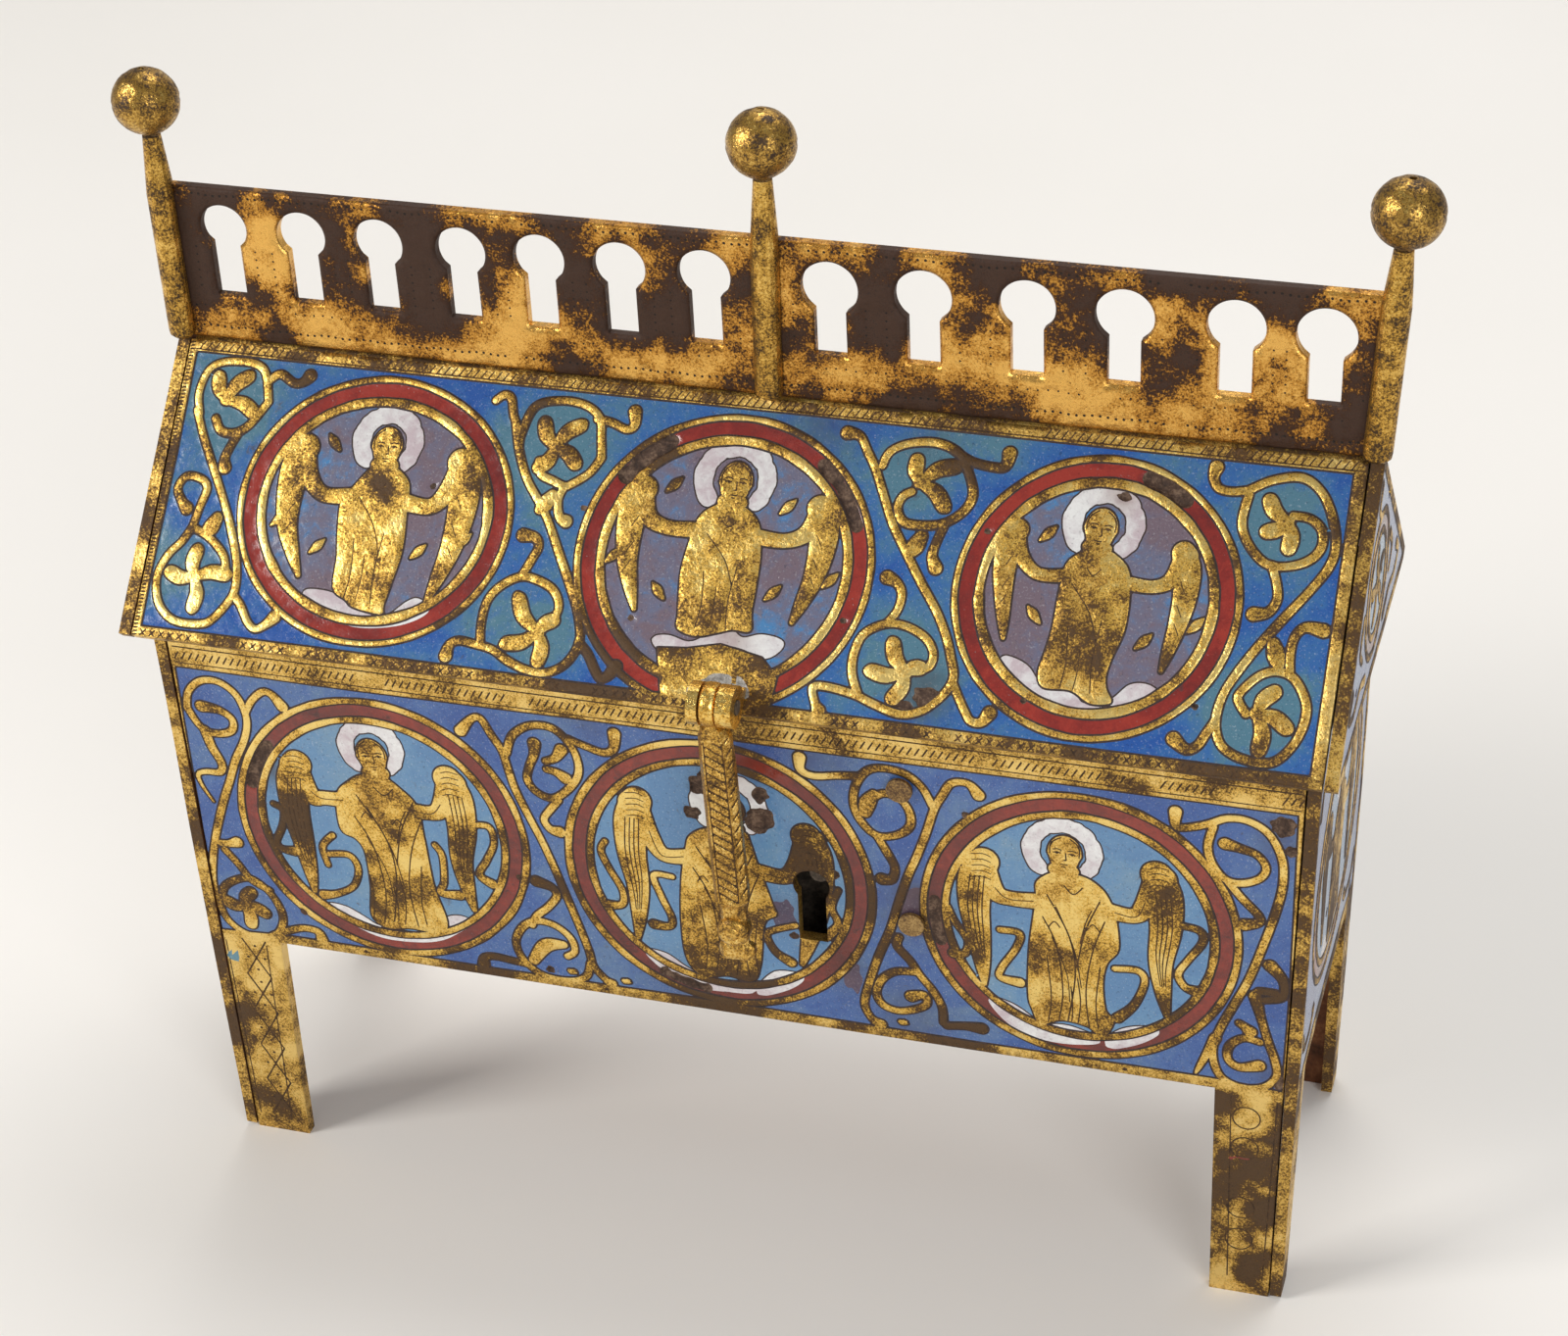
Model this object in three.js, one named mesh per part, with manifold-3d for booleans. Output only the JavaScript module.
// Reliquary casket in gilt copper plates: a box on plate feet, a gabled lid that opens on two
// strap hinges at the back, a pierced crest with three ball-topped posts, and a hanging hasp.
// Units are millimetres, +Z is up, the front faces -Y, the feet stand on z = 0.
import * as THREE from 'three';
import { mergeVertices } from 'three/addons/utils/BufferGeometryUtils.js';
import Module from 'manifold-3d';

const wasm = await Module();
wasm.setup();

// ---- driving dimensions -------------------------------------------------------------------
const GAP = 0.3;                 // clearance between neighbouring plates
const HALF = 90.0;               // half length of the box over its end plates, at the top
const DEPTH = 54.9;              // depth of the box, front face to back face
const PLATE = 2.0;               // front and back plate thickness
const END = 1.8;                 // end plate and gable thickness
const BOX_TOP = 104.6;           // top of the box walls, hidden under the lid
const APRON = 40.6;              // lower edge of the enamelled plates
const TAPER = 2.0;               // how far each end draws in from z = 95 down to the floor
const FOOT_IN_TOP = 77.5;        // inner edge of a foot where it leaves the plate
const FOOT_IN_BOTTOM = 78.4;     // inner edge of a foot at its end
const END_FOOT_TOP = 7.5;        // width of an end plate's foot where it leaves the plate
const END_FOOT_BOTTOM = 4.6;     // and at its end
const END_FOOT_LIFT = 0.6;       // the end plates' feet are a little shorter
const FLOOR_Z = 42.6;            // underside of the bottom plate
const FLOOR_T = 1.5;
const EAVE = [-6.2, 101.7];      // outer lower corner of the front roof plate (y, z)
const RIDGE_Z = 136.5;           // height at which the two roof planes meet
const RIDGE_FLAT = 135.6;        // the ridge is dressed flat here to carry the crest
const ROOF_T = 1.8;
const LID_LEFT = -92.4;          // outer faces of the two gables
const LID_RIGHT = 93.0;
const CREST_TOP = 161.4;
const CREST_BOTTOM = 136.0;
const CREST_T = 1.8;
const CREST_LEFT = -91.2;
const CREST_RIGHT = 92.6;
const HOLE_TOP = 158.6;          // crown of the pierced keyhole shapes
const HOLE_BOTTOM = 143.6;
const HOLES = [                  // centre line and head radius of each pierced hole
  [-82.4, 3.75], [-69.7, 3.85], [-57.3, 3.95], [-44.1, 3.95], [-31.8, 4.0], [-19.3, 4.05],
  [-6.3, 4.05], [12.6, 4.3], [26.5, 4.25], [41.7, 4.15], [55.7, 4.3], [71.5, 4.2], [84.1, 4.3],
];
const POSTS = [                  // name, foot x, lean to the right in degrees, knob centre height
  ['left', -91.5, -0.4, 175.0], ['middle', 3.0, 1.0, 176.5], ['right', 92.0, 3.4, 174.4],
];
const POST_R = 2.15;             // radius of a post at its foot
const POST_R_TOP = 1.4;          // and under the knob
const KNOB_R = 5.15;
const BARREL = { y: -8.5, z: 104.4, r: 3.3, bore: 1.25, pin: 1.1 };      // hasp hinge barrel
const RINGS = { left: [0.3, 1.95], middle: [2.15, 4.5], right: [4.7, 7.1] };
const HASP_BOTTOM = 59.0;
const HASP_W = 5.4;              // hasp bar width over its bevels
const HASP_FLAT = 3.6;           // width of its flat front
const HASP_T = 2.6;
const HASP_LEAN = 2.2;           // degrees, the bar hangs a little out of square
const KEY = { x: 14.4, z: 67.5, r: 2.9, slot: 2.25, bottom: 57.3 };      // keyhole in the front
const HINGE_X = [-58, 58];       // centres of the two rear hinges
const HINGE_W = 10.0;
const HINGE_AXIS = [DEPTH + 7.4, 100.0];
const HINGE_R = 1.7;
const HINGE_BORE = 0.95;
const HINGE_PIN = 0.8;

// ---- materials ----------------------------------------------------------------------------
const metal = (color, roughness = 0.4, metalness = 0.9) =>
  new THREE.MeshStandardMaterial({ color, roughness, metalness });
const GILT = metal(0xb98c35);
const WORN = metal(0x7d5a25, 0.5);
const ENAMEL = metal(0x4d74b0, 0.3, 0.0);
const IRON = metal(0x3a3129, 0.7, 0.6);

// ---- shape helpers ------------------------------------------------------------------------
const shapeOf = (points) => new THREE.Shape(points.map(([u, v]) => new THREE.Vector2(u, v)));
const basis = (x, y, z) => new THREE.Matrix4().makeBasis(
  new THREE.Vector3(...x), new THREE.Vector3(...y), new THREE.Vector3(...z));
const extrude = (shape, depth, curveSegments = 12) =>
  new THREE.ExtrudeGeometry(shape, { depth, bevelEnabled: false, curveSegments });
// outline in (y, z), run along x
const alongX = (points, x0, x1) =>
  extrude(shapeOf(points), x1 - x0).applyMatrix4(basis([0, 1, 0], [0, 0, 1], [1, 0, 0])).translate(x0, 0, 0);
// outline in (x, z), run along y
const alongY = (shape, y0, y1, seg) =>
  extrude(shape, y1 - y0, seg).applyMatrix4(basis([1, 0, 0], [0, 0, 1], [0, -1, 0])).translate(0, y1, 0);
const block = (x0, x1, y0, y1, z0, z1) =>
  new THREE.BoxGeometry(x1 - x0, y1 - y0, z1 - z0).translate((x0 + x1) / 2, (y0 + y1) / 2, (z0 + z1) / 2);
const rodX = (r, x0, x1, y, z, seg = 24) =>
  new THREE.CylinderGeometry(r, r, x1 - x0, seg).rotateZ(Math.PI / 2).translate((x0 + x1) / 2, y, z);
const rodY = (r, y0, y1, x, z, seg = 20) =>
  new THREE.CylinderGeometry(r, r, y1 - y0, seg).translate(x, (y0 + y1) / 2, z);

// closed geometry to a solid for joins and cuts, and back
function solid(geometry) {
  const g = geometry.clone();
  for (const name of Object.keys(g.attributes)) if (name !== 'position') g.deleteAttribute(name);
  const m = mergeVertices(g.index ? g : g, 1e-4);
  return new wasm.Manifold(new wasm.Mesh({
    numProp: 3,
    vertProperties: new Float32Array(m.attributes.position.array),
    triVerts: new Uint32Array(m.index.array),
  }));
}
function geometryOf(body) {
  const mesh = body.getMesh();
  const g = new THREE.BufferGeometry();
  g.setAttribute('position', new THREE.BufferAttribute(new Float32Array(mesh.vertProperties), 3));
  g.setIndex(new THREE.BufferAttribute(new Uint32Array(mesh.triVerts), 1));
  g.computeVertexNormals();
  return g;
}
const join = (...parts) => parts.map(solid).reduce((a, b) => a.add(b));
const cut = (body, ...tools) => tools.reduce((a, t) => a.subtract(solid(t)), body);

// the box draws in slightly towards the floor
function drawIn(geometry) {
  const p = geometry.attributes.position;
  for (let i = 0; i < p.count; i += 1) {
    const s = 1 - (TAPER / HALF) * (1 - p.getZ(i) / 95);
    p.setX(i, p.getX(i) * s);
  }
  return geometry;
}

const casket = new THREE.Group();
const lid = new THREE.Group();
const hasp = new THREE.Group();
casket.add(lid);
lid.add(hasp);
const add = (group, name, geometry, material) => {
  const m = new THREE.Mesh(geometry, material);
  m.name = name;
  group.add(m);
  return m;
};

// ---- box ----------------------------------------------------------------------------------
const IN = HALF - END - GAP;     // half length of the front, back and bottom plates
function wallShape() {
  return shapeOf([
    [-IN, BOX_TOP], [-IN, 0], [-FOOT_IN_BOTTOM, 0], [-FOOT_IN_TOP, APRON],
    [FOOT_IN_TOP, APRON], [FOOT_IN_BOTTOM, 0], [IN, 0], [IN, BOX_TOP],
  ]);
}
// keyhole outline: round head above a straight slot
function keyholePath(x, z, r, slot, bottom, shoulder = 0) {
  const a0 = -Math.PI / 2 + Math.asin(Math.min(0.98, (slot + shoulder) / r));
  const path = new THREE.Path();
  path.moveTo(x - slot, bottom);
  path.lineTo(x + slot, bottom);
  if (shoulder > 0) path.lineTo(x + slot, z + r * Math.sin(a0) - shoulder * 0.9);
  path.absarc(x, z, r, a0, Math.PI - a0, false);
  if (shoulder > 0) path.lineTo(x - slot, z + r * Math.sin(a0) - shoulder * 0.9);
  path.lineTo(x - slot, bottom);
  return path;
}
const front = wallShape();
front.holes.push(keyholePath(KEY.x, KEY.z, KEY.r, KEY.slot, KEY.bottom));
add(casket, 'front_plate', drawIn(alongY(front, 0, PLATE, 9)), ENAMEL);
add(casket, 'back_plate', drawIn(alongY(wallShape(), DEPTH - PLATE, DEPTH)), ENAMEL);

const endOutline = [
  [-0.2, BOX_TOP], [-0.2, END_FOOT_LIFT], [END_FOOT_BOTTOM, END_FOOT_LIFT], [END_FOOT_TOP, APRON + 0.6],
  [DEPTH - END_FOOT_TOP, APRON + 0.6], [DEPTH - END_FOOT_BOTTOM, END_FOOT_LIFT],
  [DEPTH + 0.2, END_FOOT_LIFT], [DEPTH + 0.2, BOX_TOP],
];
add(casket, 'end_plate_left', drawIn(alongX(endOutline, -HALF, -HALF + END)), ENAMEL);
add(casket, 'end_plate_right', drawIn(alongX(endOutline, HALF - END, HALF)), ENAMEL);
add(casket, 'bottom_plate', drawIn(block(-IN, IN, PLATE + GAP, DEPTH - PLATE - GAP, FLOOR_Z, FLOOR_Z + FLOOR_T)), WORN);

// lock behind the front plate: an open-fronted case with the pin that a hollow key slides on
const LOCK = { x0: -5, x1: 34, z0: 51, z1: 92, y0: PLATE + GAP, y1: PLATE + GAP + 8.5, wall: 1.2 };
const lockShell = cut(
  join(block(LOCK.x0, LOCK.x1, LOCK.y0, LOCK.y1, LOCK.z0, LOCK.z1)),
  block(LOCK.x0 + LOCK.wall, LOCK.x1 - LOCK.wall, LOCK.y0 - 1, LOCK.y1 - LOCK.wall, LOCK.z0 + LOCK.wall, LOCK.z1 - LOCK.wall));
add(casket, 'lock_case', geometryOf(lockShell.add(solid(rodY(1.5, 3.0, LOCK.y1 - 0.5, KEY.x + 0.3, KEY.z + 0.3, 16)))), IRON);
for (const [name, x, z] of [['lock_rivet_upper', 28.7, 87.9], ['lock_rivet_lower', 30.0, 63.5]]) {
  add(casket, name, rodY(2.0, -0.9, -GAP, x, z, 24), GILT);
}

// ---- lid ----------------------------------------------------------------------------------
const MID = DEPTH / 2;
const SLOPE = (RIDGE_Z - EAVE[1]) / (MID - EAVE[0]);
const ANG = Math.atan(SLOPE);
const outerZ = (y) => EAVE[1] + (y - EAVE[0]) * SLOPE;             // front roof plane
const innerEave = [EAVE[0] + ROOF_T * Math.sin(ANG), EAVE[1] - ROOF_T * Math.cos(ANG)];
const flatY = EAVE[0] + (RIDGE_FLAT - EAVE[1]) / SLOPE;
const mitre = MID - GAP / 2;
const roofOutline = [
  EAVE, innerEave, [mitre, outerZ(mitre) - ROOF_T / Math.cos(ANG)], [mitre, RIDGE_FLAT], [flatY, RIDGE_FLAT],
];
const mirrored = (pts) => pts.map(([y, z]) => [DEPTH - y, z]).reverse();
const ROOF_L = LID_LEFT + END + GAP;
const ROOF_R = LID_RIGHT - END - GAP;
add(lid, 'roof_front', alongX(roofOutline, ROOF_L, ROOF_R), ENAMEL);
add(lid, 'roof_back', alongX(mirrored(roofOutline), ROOF_L, ROOF_R), ENAMEL);
const gableOutline = [
  EAVE, innerEave, [DEPTH - innerEave[0], innerEave[1]], [DEPTH - EAVE[0], EAVE[1]],
  [DEPTH - flatY, RIDGE_FLAT], [flatY, RIDGE_FLAT],
];
add(lid, 'gable_left', alongX(gableOutline, LID_LEFT, LID_LEFT + END), ENAMEL);
add(lid, 'gable_right', alongX(gableOutline, LID_RIGHT - END, LID_RIGHT), ENAMEL);

// pierced crest standing on the ridge
const crestFront = MID - CREST_T / 2;
const crest = shapeOf([
  [CREST_LEFT, CREST_BOTTOM], [CREST_RIGHT, CREST_BOTTOM], [CREST_RIGHT, CREST_TOP], [CREST_LEFT, CREST_TOP],
]);
for (const [x, r] of HOLES) crest.holes.push(keyholePath(x, HOLE_TOP - r, r, 2.4, HOLE_BOTTOM, 0.75));
add(lid, 'crest_plate', alongY(crest, crestFront, crestFront + CREST_T, 10), WORN);

// posts: half-round against the crest, round above it, each carrying a ball
for (const [side, x, lean, knobZ] of POSTS) {
  const z0 = CREST_BOTTOM + 0.2;
  const top = knobZ - KNOB_R - GAP;
  const axisY = crestFront - 0.15;
  const along = (z) => POST_R + (POST_R_TOP - POST_R) * Math.max(0, (z - CREST_TOP + 1) / (top - CREST_TOP + 1));
  const profile = [[0, z0], [POST_R - 0.7, z0], [POST_R - 0.1, z0 + 0.6], [POST_R, z0 + 1.6],
    [POST_R, CREST_TOP - 1], [along((CREST_TOP + top) / 2), (CREST_TOP + top) / 2], [POST_R_TOP, top], [0, top]];
  const place = (g) => g.translate(0, 0, -z0).rotateY(THREE.MathUtils.degToRad(lean)).translate(x, axisY, z0);
  const rod = place(new THREE.LatheGeometry(profile.map(([r, z]) => new THREE.Vector2(r, z)), 20).rotateX(Math.PI / 2));
  const behind = block(x - 12, x + 12, crestFront - GAP, crestFront + 8, z0 - 5, CREST_TOP + GAP);
  add(lid, `crest_post_${side}`, geometryOf(cut(solid(rod), behind)), GILT);
  add(lid, `knob_${side}`, place(new THREE.SphereGeometry(KNOB_R, 24, 14).rotateX(Math.PI / 2).translate(0, 0, knobZ)), GILT);
}

// hasp barrel on the lid: two fixed rings with a small soldered foot each, and the pin
const roofNormal = [-Math.sin(ANG), Math.cos(ANG)];
const roofDistance = (BARREL.y - EAVE[0]) * roofNormal[0] + (BARREL.z - EAVE[1]) * roofNormal[1];
const touch = [BARREL.y - roofNormal[0] * (roofDistance - GAP), BARREL.z - roofNormal[1] * (roofDistance - GAP)];
const upSlope = [Math.cos(ANG), Math.sin(ANG)];
const lugFoot = [
  [touch[0] - upSlope[0] * 1.0, touch[1] - upSlope[1] * 1.0], [touch[0] + upSlope[0] * 3.6, touch[1] + upSlope[1] * 3.6],
  [touch[0] + upSlope[0] * 3.4 + roofNormal[0] * 0.9, touch[1] + upSlope[1] * 3.4 + roofNormal[1] * 0.9],
  [touch[0] + upSlope[0] * 1.6 + roofNormal[0] * 2.4, touch[1] + upSlope[1] * 1.6 + roofNormal[1] * 2.4],
  [touch[0] - upSlope[0] * 1.0 + roofNormal[0] * 2.0, touch[1] - upSlope[1] * 1.0 + roofNormal[1] * 2.0],
];
for (const side of ['left', 'right']) {
  const [x0, x1] = RINGS[side];
  const ring = cut(join(rodX(BARREL.r - 0.1, x0, x1, BARREL.y, BARREL.z, 28), alongX(lugFoot, x0, x1)),
    rodX(BARREL.bore, x0 - 1, x1 + 1, BARREL.y, BARREL.z, 20));
  add(lid, `hasp_lug_${side}`, geometryOf(ring), GILT);
}
add(lid, 'hasp_pin', rodX(BARREL.pin, RINGS.left[0] - 0.2, RINGS.right[1] + 0.2, BARREL.y, BARREL.z, 20), IRON);

// ---- hasp ---------------------------------------------------------------------------------
const barSection = (w, f, t) => shapeOf([[-w / 2, -t / 2], [w / 2, -t / 2], [w / 2, t * 0.05], [f / 2, t / 2], [-f / 2, t / 2], [-w / 2, t * 0.05]]);
// the section is drawn front up, so a half turn points the bar's flat to the front
const barRun = (w, f, t, z0, z1) =>
  extrude(barSection(w, f, t), z1 - z0).rotateZ(Math.PI).translate(0, 0, z0);
const haspX = (RINGS.middle[0] + RINGS.middle[1]) / 2;
const barTop = BARREL.z - 4.6;
const lean = (g) => g.translate(0, 0, -barTop).rotateY(-THREE.MathUtils.degToRad(HASP_LEAN)).translate(haspX, BARREL.y, barTop);
const neck = block(RINGS.middle[0], RINGS.middle[1], BARREL.y - 1.2, BARREL.y + 1.2, barTop - 0.8, BARREL.z - 1.6);
const thumb = rodY(2.5, -1.9, 1.3, 0, HASP_BOTTOM + 5.2, 20);
const haspBody = cut(
  join(rodX(BARREL.r, RINGS.middle[0], RINGS.middle[1], BARREL.y, BARREL.z, 28), neck,
    lean(barRun(HASP_W, HASP_FLAT, HASP_T, HASP_BOTTOM + 9.5, barTop)),
    lean(barRun(HASP_W - 1.2, HASP_FLAT - 1.0, HASP_T - 0.7, HASP_BOTTOM + 2, HASP_BOTTOM + 10)),
    lean(thumb),
    lean(barRun(HASP_W + 0.4, HASP_FLAT + 0.6, HASP_T - 0.4, HASP_BOTTOM, HASP_BOTTOM + 2.4))),
  rodX(BARREL.bore, RINGS.middle[0] - 1, RINGS.middle[1] + 1, BARREL.y, BARREL.z, 20));
add(hasp, 'hasp', geometryOf(haspBody), GILT);

// ---- rear hinges --------------------------------------------------------------------------
const [HY, HZ] = HINGE_AXIS;
const rearEave = [DEPTH - EAVE[0], EAVE[1]];
const rearUp = [-Math.cos(ANG), Math.sin(ANG)];
const rearOut = [Math.sin(ANG), Math.cos(ANG)];
const onRoof = (s, n) => [rearEave[0] + rearUp[0] * s + rearOut[0] * n, rearEave[1] + rearUp[1] * s + rearOut[1] * n];
['left', 'right'].forEach((side, i) => {
  const xc = HINGE_X[i];
  const x0 = xc - HINGE_W / 2;
  const x1 = xc + HINGE_W / 2;
  const leaf = alongX([onRoof(0.6, GAP), onRoof(15, GAP), onRoof(15, GAP + 1.1), onRoof(0.6, GAP + 1.1)].reverse(), x0, x1);
  const tail = alongX([onRoof(-2.4, GAP), onRoof(0.8, GAP), onRoof(0.8, GAP + 1.1), onRoof(-2.4, GAP + 1.1)].reverse(), x0, xc - GAP / 2);
  const lidStrap = cut(join(leaf, tail, rodX(HINGE_R, x0, xc - GAP / 2, HY, HZ, 20)), rodX(HINGE_BORE, x0 - 1, x1 + 1, HY, HZ, 16));
  add(lid, `hinge_strap_lid_${side}`, geometryOf(lidStrap), GILT);

  const yb = DEPTH + GAP;
  const strap = alongX([[yb, 80], [yb + 1.2, 80], [yb + 1.2, 94.6], [yb, 95.0]], x0, x1);
  const arm = alongX([[yb, 93.4], [yb + 1.2, 93.0], [HY + 0.9, HZ - 1.1], [HY - 0.4, HZ + 0.6], [yb, 95.0]], xc + GAP / 2, x1);
  const boxStrap = cut(join(strap, arm, rodX(HINGE_R, xc + GAP / 2, x1, HY, HZ, 20)), rodX(HINGE_BORE, x0 - 1, x1 + 1, HY, HZ, 16));
  add(casket, `hinge_strap_box_${side}`, geometryOf(boxStrap), GILT);
  add(casket, `hinge_pin_${side}`, rodX(HINGE_PIN, x0 - 0.3, x1 + 0.3, HY, HZ, 16), IRON);
});

// ---- origin at the middle of the footprint, feet on z = 0 ---------------------------------
casket.updateMatrixWorld(true);
const bounds = new THREE.Box3().setFromObject(casket);
casket.position.set(-(bounds.min.x + bounds.max.x) / 2, -(bounds.min.y + bounds.max.y) / 2, -bounds.min.z);
casket.updateMatrixWorld(true);

export default casket;
